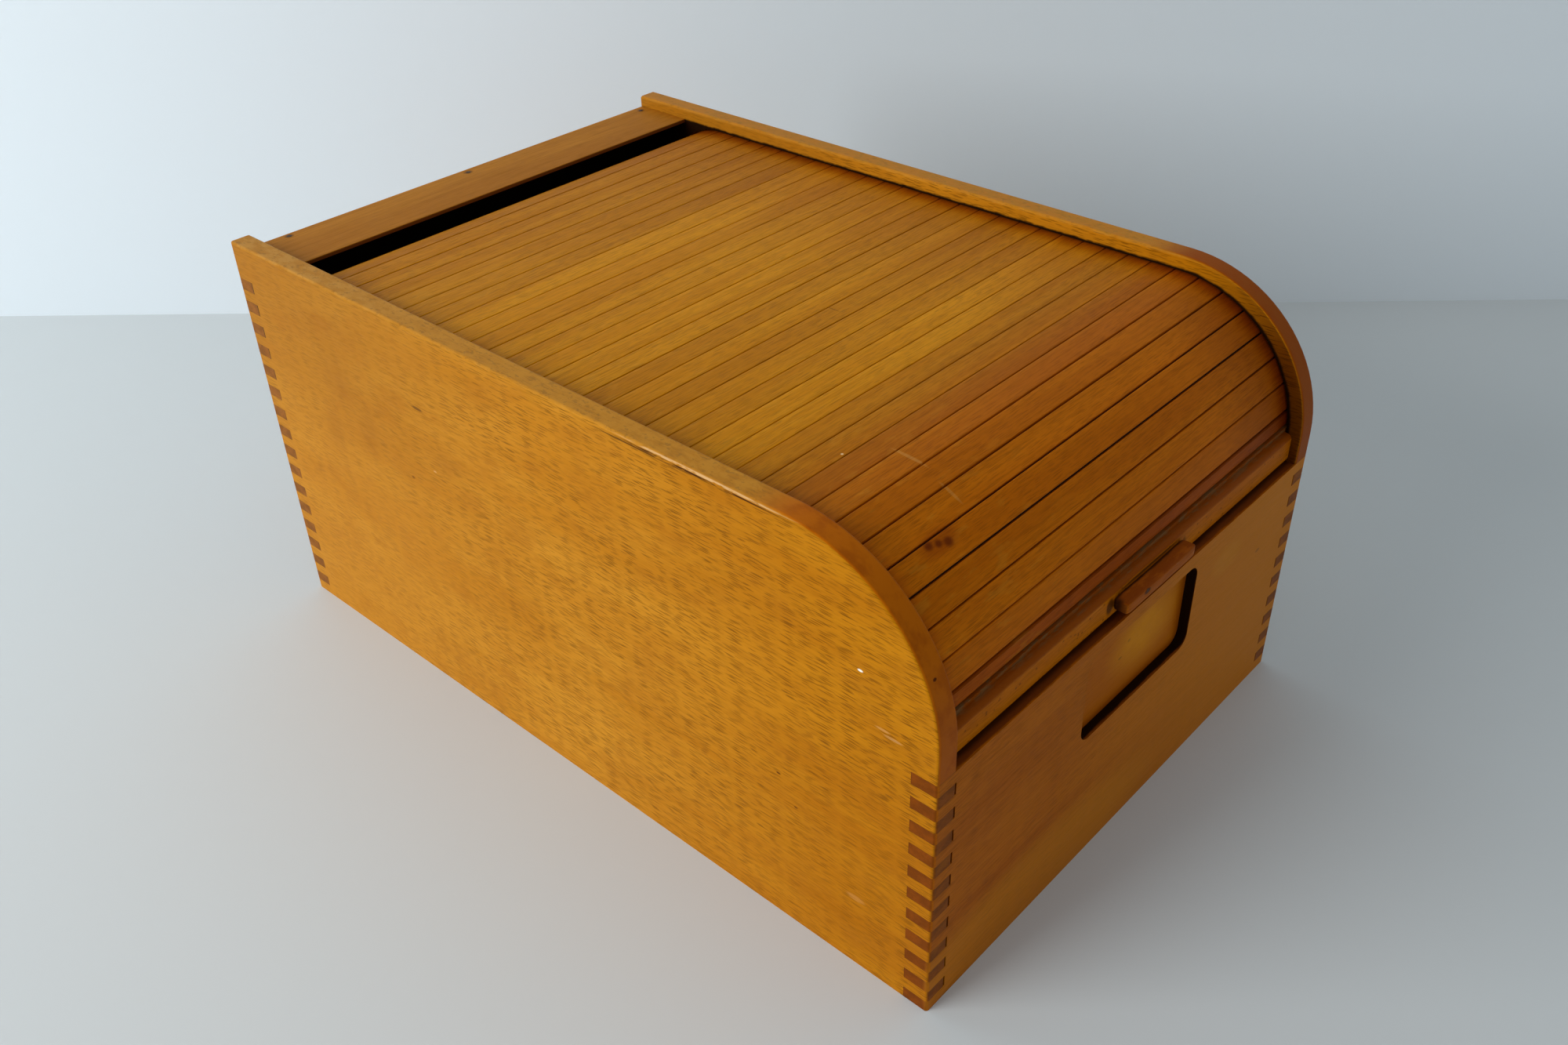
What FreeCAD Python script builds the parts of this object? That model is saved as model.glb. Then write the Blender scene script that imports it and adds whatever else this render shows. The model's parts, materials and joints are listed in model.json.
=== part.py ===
import FreeCAD, Part
import math
import os

# Tambour lid box: a finger-jointed beech box whose lid is a curtain of thin slats glued to
# canvas. The curtain's ends run in a groove in each side: up behind the front panel's top edge,
# round the front bend, back under the rail, down behind an inner back and forward under an
# inner floor. A lead bar with a small pull lip closes on the front panel.
#
# Millimetres. X is across the box, Y runs from the front to the back, Z is up. The origin is
# the middle of the footprint, on the surface that the box stands on.

# The case
length = 362.0                 # front face to back face
width = 237.5                  # outside of one side to the outside of the other
height = 175.5                 # to the top edges of the sides
side_thickness = 9.4
front_thickness = 10.0
back_thickness = 10.0
bend_radius = 60.0             # the sides' rounded top front corner
front_straight = 10.5          # from the front panel's top edge up to where that bend begins
finger_height = 5.0            # of the finger joints at the four corners
outer_easing = 1.2             # rounding of the case's outer corners and of the sides' edges

# The recess for a label, routed in the front panel
label_width = 72.0
label_height = 37.5
label_depth = 4.0
label_corner = 5.5
label_top_margin = 5.8         # left standing between the recess and the panel's top edge

# The rail behind the curtain, nailed on the back panel
rail_depth = 31.0
rail_thickness = 10.5          # where it rests on the back panel
rail_drop = 5.0                # its top lies this far below the sides' top edges
rail_edge = 1.6                # its underside rises to this thickness in front, over the curtain
rail_easing = 0.6              # rounding of its two upper edges

# The loose boards inside
board_thickness = 4.0          # the bottom board, let in flush from below
board_lap = 5.0                # how far it laps under the walls
floor_thickness = 3.0          # the inner floor, over the curtain's run
lining_thickness = 4.0         # the inner back, in front of the curtain's run
lining_top_gap = 5.0           # below the curtain
housing_depth = 2.0            # the inner boards are let this far into the sides

# The curtain
curtain_drop = 6.8             # from the sides' edge down to the slats' faces
slat_pitch = 10.26
slat_gap = 0.35
slat_thickness = 2.2
slat_bevel = 0.4               # on a slat's two upper edges
canvas_thickness = 0.4
canvas_margin = 3.0            # between the canvas and a side
strip_width = 6.7              # the narrow strip between the lead bar and the first slat
rear_bend_radius = 31.0        # of the slats' faces, where they turn down behind
rear_bend_inset = 53.0         # from the back face to the middle of that bend
tail_slats = 3                 # slats that lie in the rear bend while the lid is shut
travel = 15.0                  # how far this model's lid opens, measured along the curtain

# The grooves that guide it
groove_depth = 4.2
groove_end_clearance = 0.3     # between a slat's end and the groove's bottom
groove_outer_clearance = 0.6   # above the slats' faces
groove_inner_clearance = 0.5   # below the canvas side of the slats
front_bend_relief = 1.0        # the inner wall's bends are this much flatter than the path,
rear_bend_relief = 2.4         # since a flat slat reaches inwards where it turns
run_height = 8.0               # the slats' faces over the table, in the run under the floor
run_start = 165.0              # the grooves end this far behind the front face
run_floor_clearance = 2.8      # between the slats and the inner floor
run_lining_clearance = 1.5     # between the canvas, where it turns, and the inner boards

# The lead bar and its lip
lead_setback = 3.5             # from the front face to the bar's face
lead_height = 12.0
lead_gap = 0.3                 # over the front panel, and beside each side
lead_easing = 2.0
tongue_start = 1.7             # the tongues begin this far above the bar's bottom edge
heel_height = 2.1              # the bar's thin rear part stands above its front part
lip_length = 45.5
lip_offset = 3.7               # the lip sits a little to the right of the middle
lip_height = 4.8
lip_rise = 4.2                 # over the front panel's top edge
lip_reach = 2.3                # in front of the front face, for a finger to hook under
lip_easing = 1.2

# Worked out from the sizes above
front_y = -length / 2
back_y = length / 2
inner_width = width - 2 * side_thickness
rail_top = height - rail_drop
back_height = rail_top - rail_thickness
front_height = height - bend_radius - front_straight
curtain_top = height - curtain_drop
front_bend_y = front_y + bend_radius
front_bend_z = height - bend_radius
front_face_radius = bend_radius - curtain_drop
front_line_radius = front_face_radius - slat_thickness
rear_bend_y = back_y - rear_bend_inset
rear_bend_z = curtain_top - rear_bend_radius
rear_line_radius = rear_bend_radius - slat_thickness
low_bend_z = run_height + rear_bend_radius
slat_width = slat_pitch - slat_gap
slat_length = inner_width + 2 * (groove_depth - groove_end_clearance)
flat_length = rear_bend_y - front_bend_y
floor_bottom = run_height + slat_thickness + run_floor_clearance
floor_top = floor_bottom + floor_thickness
lead_bottom = front_height + lead_gap
lead_top = lead_bottom + lead_height
heel_top = lead_top + heel_height
lead_back_y = front_bend_y - front_line_radius

os.makedirs("parts", exist_ok=True)


def vec(x, y, z):
    return FreeCAD.Vector(x, y, z)


def box(x0, x1, y0, y1, z0, z1):
    return Part.makeBox(x1 - x0, y1 - y0, z1 - z0, vec(x0, y0, z0))


def line(start, end):
    """A straight edge in the plane X = 0, between two (y, z) points."""
    return Part.makeLine(vec(0, *start), vec(0, *end))


def bend(centre, radius, start_angle, end_angle):
    """An arc in the plane X = 0; angles in degrees, measured from +Z towards +Y."""
    def point(angle):
        turn = math.radians(angle)
        return vec(0, centre[0] + radius * math.sin(turn), centre[1] + radius * math.cos(turn))
    middle = (start_angle + end_angle) / 2
    return Part.Arc(point(start_angle), point(middle), point(end_angle)).toShape()


def across(edges, x0, x1):
    """The solid between x0 and x1 whose section in the Y-Z plane is the closed outline."""
    face = Part.Face(Part.Wire(Part.__sortEdges__(edges)))
    face.translate(vec(x0, 0, 0))
    return face.extrude(vec(x1 - x0, 0, 0))


def polygon(points, x0, x1):
    """The same, from the outline's corners."""
    edges = [line(a, b) for a, b in zip(points, points[1:] + points[:1])]
    return across(edges, x0, x1)


def fuse(shapes):
    return shapes[0].multiFuse(shapes[1:]).removeSplitter()


def save(shape, name):
    shape.exportStep(os.path.join("parts", name + ".step"))


# The curtain's path

def path_point(distance):
    """The point (y, z) of the slats' canvas side at a distance along the curtain's path.

    The distance is 0 where the front bend meets the flat top, negative round the front bend
    and down behind the front panel's edge, and positive over the top and round the rear bend.
    """
    front_arc = front_line_radius * math.pi / 2
    if distance < -front_arc:
        return front_bend_y - front_line_radius, front_bend_z + distance + front_arc
    if distance < 0:
        turn = distance / front_line_radius
        return (front_bend_y + front_line_radius * math.sin(turn),
                front_bend_z + front_line_radius * math.cos(turn))
    if distance <= flat_length:
        return front_bend_y + distance, front_bend_z + front_line_radius
    turn = (distance - flat_length) / rear_line_radius
    return (rear_bend_y + rear_line_radius * math.sin(turn),
            rear_bend_z + rear_line_radius * math.cos(turn))


def step_along(distance, chord):
    """The distance along the path of the next joint, one straight chord further on."""
    start = path_point(distance)
    low, high = 0.0, 2 * chord
    for _ in range(50):
        middle = (low + high) / 2
        if math.dist(path_point(distance + middle), start) < chord:
            low = middle
        else:
            high = middle
    return distance + high


def heel_distance():
    """Where the path passes the top of the lead bar's heel."""
    rise = (heel_top - front_bend_z) / front_line_radius
    if rise < 0:
        return rise * front_line_radius - front_line_radius * math.pi / 2
    return -front_line_radius * (math.pi / 2 - math.asin(rise))


def curtain_joints():
    """The distances of the joints: the narrow strip's start, then every slat's start and end."""
    joints = [heel_distance()]
    joints.append(step_along(joints[0], strip_width))
    while joints[-1] < flat_length - 1:
        joints.append(step_along(joints[-1], slat_pitch))
    for _ in range(tail_slats):
        joints.append(step_along(joints[-1], slat_pitch))
    return joints


def slat_between(start, end):
    """A slat whose canvas side lies on the chord from start to end, half a gap in at each."""
    a, b = path_point(start), path_point(end)
    chord = math.dist(a, b)
    along = ((b[0] - a[0]) / chord, (b[1] - a[1]) / chord)
    out = (-along[1], along[0])

    def at(run, rise):
        return (a[0] + run * along[0] + rise * out[0], a[1] + run * along[1] + rise * out[1])

    first, last = slat_gap / 2, chord - slat_gap / 2
    top, bevel = slat_thickness, slat_bevel
    corners = [at(first, 0), at(last, 0), at(last, top - bevel), at(last - bevel, top),
               at(first + bevel, top), at(first, top - bevel)]
    return polygon(corners, -slat_length / 2, slat_length / 2)


def canvas_between(distances):
    """The stretch of canvas glued under the slats that these joints bound, as one sheet."""
    points = [path_point(distance) for distance in distances]
    chords = []
    for a, b in zip(points, points[1:]):
        chord = math.dist(a, b)
        chords.append(((b[0] - a[0]) / chord, (b[1] - a[1]) / chord))
    points[0] = tuple(p + u * slat_gap / 2 for p, u in zip(points[0], chords[0]))
    points[-1] = tuple(p - u * slat_gap / 2 for p, u in zip(points[-1], chords[-1]))
    under = []
    for i, point in enumerate(points):
        before, after = chords[max(i - 1, 0)], chords[min(i, len(chords) - 1)]
        inward = (before[1] + after[1], -before[0] - after[0])
        half_turn = math.hypot(*inward) / 2
        scale = canvas_thickness / (2 * half_turn * half_turn)
        under.append((point[0] + inward[0] * scale, point[1] + inward[1] * scale))
    half = inner_width / 2 - canvas_margin
    return polygon(points + under[::-1], -half, half)


# The case

def footprint():
    """An upright prism over the whole box, with its four outer corners eased."""
    prism = box(-width / 2, width / 2, front_y, back_y, 0, height)
    upright = [e for e in prism.Edges if abs(e.tangentAt(e.FirstParameter).z) > 0.99]
    return prism.makeFillet(outer_easing, upright)


def joint_gaps(y0, y1, panel_height, first_gap):
    """The sockets that a panel's ends leave for the sides' fingers, as boxes."""
    gaps = []
    level = first_gap
    while level < panel_height:
        for x0, x1 in ((-width / 2, -inner_width / 2), (inner_width / 2, width / 2)):
            gaps.append(box(x0, x1, y0, y1, level, min(level + finger_height, panel_height)))
        level += 2 * finger_height
    return gaps


def bottom_board():
    """The bottom board, flush with the walls' lower edges."""
    return box(-inner_width / 2 - board_lap, inner_width / 2 + board_lap,
               front_y + front_thickness - board_lap, back_y - back_thickness + board_lap,
               0, board_thickness)


def label_recess():
    """The shallow rounded recess in the front panel."""
    top = front_height - label_top_margin
    cutter = box(-label_width / 2, label_width / 2, front_y, front_y + label_depth,
                 top - label_height, top)
    corners = [e for e in cutter.Edges if abs(e.tangentAt(e.FirstParameter).y) > 0.99]
    return cutter.makeFillet(label_corner, corners)


def front_panel():
    panel = box(-width / 2, width / 2, front_y, front_y + front_thickness, 0, front_height)
    gaps = joint_gaps(front_y, front_y + front_thickness, front_height, finger_height)
    panel = panel.cut(gaps + [label_recess(), bottom_board()])
    return panel.common(footprint())


def back_panel():
    panel = box(-width / 2, width / 2, back_y - back_thickness, back_y, 0, back_height)
    gaps = joint_gaps(back_y - back_thickness, back_y, back_height, 0)
    panel = panel.cut(gaps + [bottom_board()])
    return panel.common(footprint())


def rear_rail():
    """The board over the place where the curtain turns down, thinned towards its front."""
    front = back_y - rail_depth
    outline = [vec(-inner_width / 2, y, z) for y, z in (
        (back_y, back_height), (back_y, rail_top), (front, rail_top),
        (front, rail_top - rail_edge), (back_y - back_thickness, back_height))]
    rail = Part.Face(Part.makePolygon(outline + outline[:1])).extrude(vec(inner_width, 0, 0))
    rim = [e for e in rail.Edges
           if e.BoundBox.XLength > 1 and e.BoundBox.ZMin > rail_top - 0.01]
    return rail.makeFillet(rail_easing, rim)


def inner_floor():
    half = inner_width / 2 + housing_depth
    return box(-half, half, front_y + front_thickness, lining_back(), floor_bottom, floor_top)


def turning_radius():
    """How close the canvas comes to the middle of a rear bend, at the middle of a slat."""
    return math.sqrt(rear_line_radius ** 2 - (slat_pitch / 2) ** 2) - canvas_thickness


def lining_back():
    """The inner back's rear face, as far back as the run's lower bend lets the floor reach."""
    reach = turning_radius() - run_lining_clearance
    drop = low_bend_z - floor_bottom
    return rear_bend_y + math.sqrt(max(reach * reach - drop * drop, 0))


def inner_back():
    half = inner_width / 2 + housing_depth
    rear = lining_back()
    curtain = rear_bend_z + math.sqrt(turning_radius() ** 2 - (rear - rear_bend_y) ** 2)
    return box(-half, half, rear - lining_thickness, rear, floor_top, curtain - lining_top_gap)


def groove_wall(front_radius, rear_radius, front_relief, rear_relief):
    """One wall of the groove, as edges from the front mouth to the end under the floor.

    It has straight stretches joined by three bends. A relief makes a bend's radius larger and
    moves its middle inwards, so that the bend still meets both straight stretches smoothly.
    """
    y0, z0 = front_bend_y - front_radius, front_bend_z + front_radius
    y1, z1 = rear_bend_y + rear_radius, low_bend_z - rear_radius
    front = (front_bend_y + front_relief, front_bend_z - front_relief)
    rear = (rear_bend_y - rear_relief, rear_bend_z - rear_relief)
    low = (rear_bend_y - rear_relief, low_bend_z + rear_relief)
    mouth, foot = (y0, front_height), (front_y + run_start, z1)
    edges = [
        line(mouth, (y0, front[1])),
        bend(front, front_radius + front_relief, -90, 0),
        line((front[0], z0), (rear[0], z0)),
        bend(rear, rear_radius + rear_relief, 0, 90),
        line((y1, rear[1]), (y1, low[1])),
        bend(low, rear_radius + rear_relief, 90, 180),
        line((low[0], z1), foot),
    ]
    return edges, mouth, foot


def groove():
    """The space swept by the slats' ends, from one side's groove to the other's."""
    outer, mouth_out, foot_out = groove_wall(front_face_radius + groove_outer_clearance,
                                             rear_bend_radius + groove_outer_clearance, 0, 0)
    inner, mouth_in, foot_in = groove_wall(front_line_radius - groove_inner_clearance,
                                           rear_line_radius - groove_inner_clearance,
                                           front_bend_relief, rear_bend_relief)
    ends = [line(mouth_out, mouth_in), line(foot_out, foot_in)]
    half = inner_width / 2 + groove_depth
    return across(outer + inner + ends, -half, half)


def side_blank(x0, x1):
    """One side before jointing: a board with a rounded top front corner and eased edges."""
    edges = [
        line((back_y, 0), (back_y, height)),
        line((back_y, height), (front_bend_y, height)),
        bend((front_bend_y, front_bend_z), bend_radius, 0, -90),
        line((front_y, front_bend_z), (front_y, 0)),
        line((front_y, 0), (back_y, 0)),
    ]
    blank = across(edges, x0, x1)
    rim = [e for e in blank.Edges
           if e.BoundBox.XLength < 0.01 and e.BoundBox.ZMax > height - 0.01
           and e.BoundBox.YLength > 1]
    return blank.makeFillet(outer_easing, rim)


def sides(joined):
    """The left and the right side, cut for everything that is let into them."""
    outline = footprint()
    shapes = []
    for x0, x1 in ((-width / 2, -inner_width / 2), (inner_width / 2, width / 2)):
        shapes.append(side_blank(x0, x1).cut(joined).common(outline))
    return shapes


# The lead bar

def lead_bar():
    """The curtain's first and thickest piece, with a heel above and a tongue at each end."""
    face_y = front_y + lead_setback
    heel_y = lead_back_y - slat_thickness
    end = inner_width / 2 - lead_gap
    body = box(-end, end, face_y, lead_back_y, lead_bottom, lead_top)
    rim = [e for e in body.Edges if e.BoundBox.XLength > 1 and e.BoundBox.YMax < face_y + 0.01]
    body = body.makeFillet(lead_easing, rim)
    tongue = box(-slat_length / 2, slat_length / 2, heel_y, lead_back_y,
                 lead_bottom + tongue_start, heel_top - slat_gap)
    return fuse([body, tongue])


def pull_lip():
    """The small block on the lead bar's face that a finger pushes up."""
    bottom = front_height + lip_rise
    face_y = front_y - lip_reach
    block = box(lip_offset - lip_length / 2, lip_offset + lip_length / 2,
                face_y, front_y + lead_setback, bottom, bottom + lip_height)
    rim = [e for e in block.Edges if e.BoundBox.YMax < face_y + 0.01]
    return block.makeFillet(lip_easing, rim)


def build():
    front = front_panel()
    back = back_panel()
    board = bottom_board()
    floor = inner_floor()
    lining = inner_back()

    left, right = sides([front, back, board, floor, lining, groove()])
    save(left, "left_side")
    save(right, "right_side")
    save(front, "front_panel")
    save(back, "back_panel")
    save(rear_rail(), "rear_rail")
    save(board, "bottom_board")
    save(floor, "inner_floor")
    save(lining, "inner_back")

    save(lead_bar(), "lead_bar")
    save(pull_lip(), "pull_lip")

    joints = curtain_joints()
    save(slat_between(joints[0], joints[1]), "lead_strip")
    for number, (start, end) in enumerate(zip(joints[1:], joints[2:]), 1):
        save(slat_between(start, end), "slat_%02d" % number)

    # The canvas is one sheet on the real curtain. Here it is parted where one group of slats
    # begins to move apart from the next.
    count = len(joints) - 2
    first_turning = next(n for n in range(1, count + 1) if joints[n + 1] > -travel)
    first_flat = next(n for n in range(1, count + 1) if joints[n] > 0)
    first_dropping = next(n for n in range(1, count + 1) if joints[n + 1] + travel > flat_length)
    first_tail = count - tail_slats + 1
    save(canvas_between(joints[:first_turning + 1]), "canvas_front")
    for n in range(first_turning, first_flat):
        save(canvas_between(joints[n:n + 2]), "canvas_%02d" % n)
    save(canvas_between(joints[first_flat:first_dropping + 1]), "canvas_top")
    for n in range(first_dropping, first_tail):
        save(canvas_between(joints[n:n + 2]), "canvas_%02d" % n)
    save(canvas_between(joints[first_tail:]), "canvas_tail")


build()
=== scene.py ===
import json
import math
import bpy
import mathutils
import numpy as np
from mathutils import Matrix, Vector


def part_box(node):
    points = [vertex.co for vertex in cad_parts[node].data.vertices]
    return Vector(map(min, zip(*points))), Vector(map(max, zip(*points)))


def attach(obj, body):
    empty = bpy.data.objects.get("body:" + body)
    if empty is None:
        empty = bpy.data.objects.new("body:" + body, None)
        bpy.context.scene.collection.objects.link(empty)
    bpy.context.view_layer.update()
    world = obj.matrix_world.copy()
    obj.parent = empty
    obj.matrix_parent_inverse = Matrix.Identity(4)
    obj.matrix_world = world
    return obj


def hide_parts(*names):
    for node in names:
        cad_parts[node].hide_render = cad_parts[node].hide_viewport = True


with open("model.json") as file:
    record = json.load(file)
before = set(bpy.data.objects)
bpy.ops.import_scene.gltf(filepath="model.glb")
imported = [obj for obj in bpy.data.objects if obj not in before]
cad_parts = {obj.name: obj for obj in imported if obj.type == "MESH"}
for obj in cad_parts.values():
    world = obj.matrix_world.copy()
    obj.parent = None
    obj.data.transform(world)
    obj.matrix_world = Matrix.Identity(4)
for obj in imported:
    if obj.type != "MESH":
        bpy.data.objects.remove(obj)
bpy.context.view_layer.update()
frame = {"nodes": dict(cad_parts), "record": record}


# The two sides: single boards of steamed beech with the grain from front to back, a rounded top
# front corner and finger-jointed ends. The varnish is a golden orange, worn off along the top
# edges, where the left board has begun to split.

def tint(red, green, blue):
    """A colour written as 0 to 255 on a screen, as the linear colour that the shader takes."""
    screen = np.array([red, green, blue]) / 255
    linear = np.where(screen <= 0.04045, screen / 12.92, ((screen + 0.055) / 1.055) ** 2.4)
    return (*linear.tolist(), 1.0)


def deeper(colour, share):
    """The colour with that share of its light."""
    return tuple(share * channel for channel in colour[:3]) + (1.0,)


def part_of(tree, kind, sockets=None, **settings):
    """One node of a material, with its settings made and its sockets set to values or linked."""
    node = tree.nodes.new("ShaderNode" + kind)
    for setting, value in settings.items():
        setattr(node, setting, value)
    for socket, value in (sockets or {}).items():
        if isinstance(value, bpy.types.NodeSocket):
            tree.links.new(value, node.inputs[socket])
        else:
            node.inputs[socket].default_value = value
    return node


def reckon(tree, operation, *terms):
    """A sum on one or more values in a material."""
    return part_of(tree, "Math", dict(enumerate(terms)), operation=operation).outputs[0]


def both(tree, *amounts):
    """The amounts multiplied together: where all of them hold."""
    product = amounts[0]
    for amount in amounts[1:]:
        product = reckon(tree, "MULTIPLY", product, amount)
    return product


def apart(tree, vector):
    """The three lengths of a place, or the three parts of a direction."""
    return part_of(tree, "SeparateXYZ", {0: vector}).outputs[:3]


def in_millimetres(tree, place):
    """A place in metres, with its lengths in millimetres."""
    return part_of(tree, "VectorMath", {0: place, 3: 1000.0}, operation="SCALE").outputs[0]


def fade(tree, value, low, high):
    """0 where the value is low and 1 where it is high, with a soft step between."""
    return part_of(tree, "MapRange", {0: value, 1: low, 2: high},
                   interpolation_type="SMOOTHSTEP").outputs[0]


def between(tree, value, low, high, soft):
    """1 where the value lies between low and high, with soft ends that long."""
    return both(tree, fade(tree, value, low - soft, low), fade(tree, value, high + soft, high))


def over(tree, amount, under, top, way="MIX"):
    """The colour top laid over the colour under, by an amount from 0 to 1."""
    return part_of(tree, "Mix", {0: amount, 6: under, 7: top}, data_type="RGBA",
                   blend_type=way).outputs[2]


def weigh(tree, amount, colour, red, green, blue):
    """The colour with its red, green and blue times those factors, by an amount from 0 to 1."""
    return over(tree, amount, colour, (red, green, blue, 1), "MULTIPLY")


def cloudy(tree, place, size, detail=2.0, rough=0.5, shift=0.0):
    """Noise whose blobs measure size, three lengths in millimetres."""
    spread = part_of(tree, "Mapping", {0: place, 1: (shift, shift, shift),
                                       3: tuple(1 / length for length in size)})
    return part_of(tree, "TexNoise", {"Vector": spread.outputs[0], "Scale": 1.0,
                                      "Detail": detail, "Roughness": rough}).outputs["Fac"]


def dashes(tree, place, size, share, shift=0.0, fullness=0.46, flat="3D"):
    """Scattered spindles, one to a cell of that size, in a share of the cells."""
    spread = part_of(tree, "Mapping", {0: place, 1: (shift, shift, shift),
                                       3: tuple(1 / length for length in size)})
    cells = part_of(tree, "TexVoronoi", {"Vector": spread.outputs[0], "Scale": 1.0},
                    voronoi_dimensions=flat)
    lot = part_of(tree, "SeparateColor", {0: cells.outputs["Color"]}).outputs[0]
    near = fade(tree, cells.outputs["Distance"], fullness, fullness * 0.5)
    return both(tree, near, fade(tree, lot, 1 - share, 1 - share / 3))


def spot(tree, place, middle, reach, soft=0.5):
    """1 inside an ellipsoid about middle with those half lengths, 0 outside it."""
    away = part_of(tree, "VectorMath", {0: place, 1: middle}, operation="SUBTRACT")
    scaled = part_of(tree, "VectorMath", {0: away.outputs[0],
                                          1: tuple(1 / length for length in reach)},
                     operation="MULTIPLY")
    far = part_of(tree, "VectorMath", {0: scaled.outputs[0]}, operation="LENGTH")
    return fade(tree, far.outputs["Value"], 1.0, soft)


def lay(tree, real, colour, spots, soft=0.5):
    """Small marks laid over the colour: middle, half lengths, shade and amount of each."""
    for middle, reach, shade, amount in spots:
        mark = both(tree, spot(tree, real, middle, reach, soft), amount)
        colour = over(tree, mark, colour, shade)
    return colour


def beech(name, along, light, deep, rays=0.5, figure=0.5, shift=0.0, end_grain=None,
          gloss=0.46, marks=None, planks=False):
    """Varnished beech: cloudy tone, streaks with the grain and the wood's short dark rays.

    The place in the board is in millimetres, with its first length along the grain. end_grain
    is an axis and a colour, for the faces that look along that axis. marks lays a piece's own
    wear over the colour. planks reads each slat's shade and its place in the plank. shift moves
    the whole pattern, so that no two boards are alike.
    """
    paint = bpy.data.materials.new(name)
    paint.use_nodes = True
    tree = paint.node_tree
    tree.nodes.clear()
    where = part_of(tree, "TexCoord").outputs
    real = in_millimetres(tree, where["Object"])
    x, y, z = apart(tree, real)
    lengths = {"X": [x, y, z], "Y": [y, z, x]}[along]
    if planks:
        plank = part_of(tree, "Attribute", attribute_name="plank").outputs["Fac"]
        lengths = [reckon(tree, "ADD", length, plank) for length in lengths]
    place = part_of(tree, "CombineXYZ", dict(enumerate(lengths))).outputs[0]
    face = part_of(tree, "CombineXYZ", {
        0: lengths[0], 1: reckon(tree, "ADD", lengths[1], lengths[2])}).outputs[0]

    # The board's broad tone, bands in it and fine streaks, all drawn out with the grain.
    tone = cloudy(tree, place, (150, 34, 34), 3, 0.55, shift)
    bands = cloudy(tree, place, (240, 5, 5), 2, 0.5, shift + 7)
    body = reckon(tree, "ADD", tone, both(tree, reckon(tree, "SUBTRACT", bands, 0.5), figure))
    colour = over(tree, fade(tree, body, 0.34, 0.66), light, deep)
    fine = cloudy(tree, place, (16, 0.7, 0.7), 3, 0.6, shift + 3)
    streaks = both(tree, fade(tree, fine, 0.42, 0.7), 0.28 + 0.24 * figure)
    colour = over(tree, streaks, colour, deeper(deep, 0.62))

    # The rays, long and short, stronger in some patches than in others.
    patch = part_of(tree, "MapRange", {
        0: cloudy(tree, place, (60, 22, 22), 2, 0.5, shift + 11), 1: 0.3, 2: 0.6, 3: 0.6,
        4: 1.1}).outputs[0]
    long_rays = dashes(tree, face, (12.0, 0.8, 1), 1.0, shift, 0.3, "2D")
    short_rays = dashes(tree, face, (8.0, 0.7, 1), 1.0, shift + 19, 0.28, "2D")
    every_ray = both(tree, reckon(tree, "MAXIMUM", long_rays, short_rays), patch)
    colour = over(tree, both(tree, every_ray, rays), colour, deeper(deep, 0.45))

    if planks:
        own = part_of(tree, "Attribute", attribute_name="tone").outputs["Fac"]
        colour = over(tree, fade(tree, own, -1.0, 1.0),
                      weigh(tree, 1.0, colour, 0.80, 0.75, 0.66),
                      weigh(tree, 1.0, colour, 1.15, 1.19, 1.24))
    if end_grain:
        axis, ends = end_grain
        facing = apart(tree, where["Normal"])[axis]
        cut = fade(tree, reckon(tree, "ABSOLUTE", facing), 0.45, 0.9)
        pores = cloudy(tree, real, (1.1, 1.1, 0.6), 2, 0.6, shift)
        patchy = cloudy(tree, real, (5, 5, 3.5), 1, 0.5, shift + 2)
        sawn = over(tree, fade(tree, patchy, 0.3, 0.7), ends, deeper(ends, 0.72))
        sawn = over(tree, both(tree, fade(tree, pores, 0.45, 0.7), 0.4), sawn, deeper(ends, 0.5))
        colour = over(tree, cut, colour, sawn)
    if marks:
        colour = marks(tree, real, where["Normal"], colour)

    # An old varnish: the rays lie a little lower, and its shine is weak and warm.
    height = reckon(tree, "SUBTRACT", both(tree, fine, 0.4), every_ray)
    bump = part_of(tree, "Bump", {"Strength": 0.3, "Distance": 0.00004, "Height": height})
    dull = reckon(tree, "ADD", gloss - 0.07, both(tree, fine, 0.2))
    varnish = part_of(tree, "BsdfPrincipled", {
        "Base Color": colour, "Roughness": dull, "Normal": bump.outputs[0],
        "Specular IOR Level": 0.07, "Specular Tint": (1.0, 0.76, 0.3, 1.0)})
    part_of(tree, "OutputMaterial", {0: varnish.outputs[0]})
    return paint


def finger_lines(tree, real, colour, axis, end):
    """The hairlines of glue and dirt round each finger, 5 mm apart, and at the finger's end.

    end is how far the end lies from the middle of the box, along the axis.
    """
    lengths = apart(tree, real)
    step = reckon(tree, "PINGPONG", lengths[2], 2.5)
    length = reckon(tree, "ABSOLUTE", lengths[axis])
    line = fade(tree, step, 0.22, 0.05)
    inside = fade(tree, length, end - 0.1, end + 0.1)
    tip = both(tree, fade(tree, length, end + 0.35, end + 0.1), inside)
    ragged = fade(tree, cloudy(tree, real, (3, 3, 3)), 0.35, 0.6)
    every = reckon(tree, "MAXIMUM", both(tree, line, inside), tip)
    return over(tree, both(tree, every, ragged, 0.75), colour, tint(52, 24, 6))


# Places on the case that the wear follows, in millimetres.
(left_face, front_face, _), (_, _, side_top) = 1000 * np.array(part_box("left_side"))
panel_top = 1000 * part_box("front_panel")[1][2]
bend_radius = 60.0
bend_y, bend_z = front_face + bend_radius, side_top - bend_radius
inner_face = 109.5
chip, bruise = tint(238, 196, 140), tint(84, 34, 8)


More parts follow.
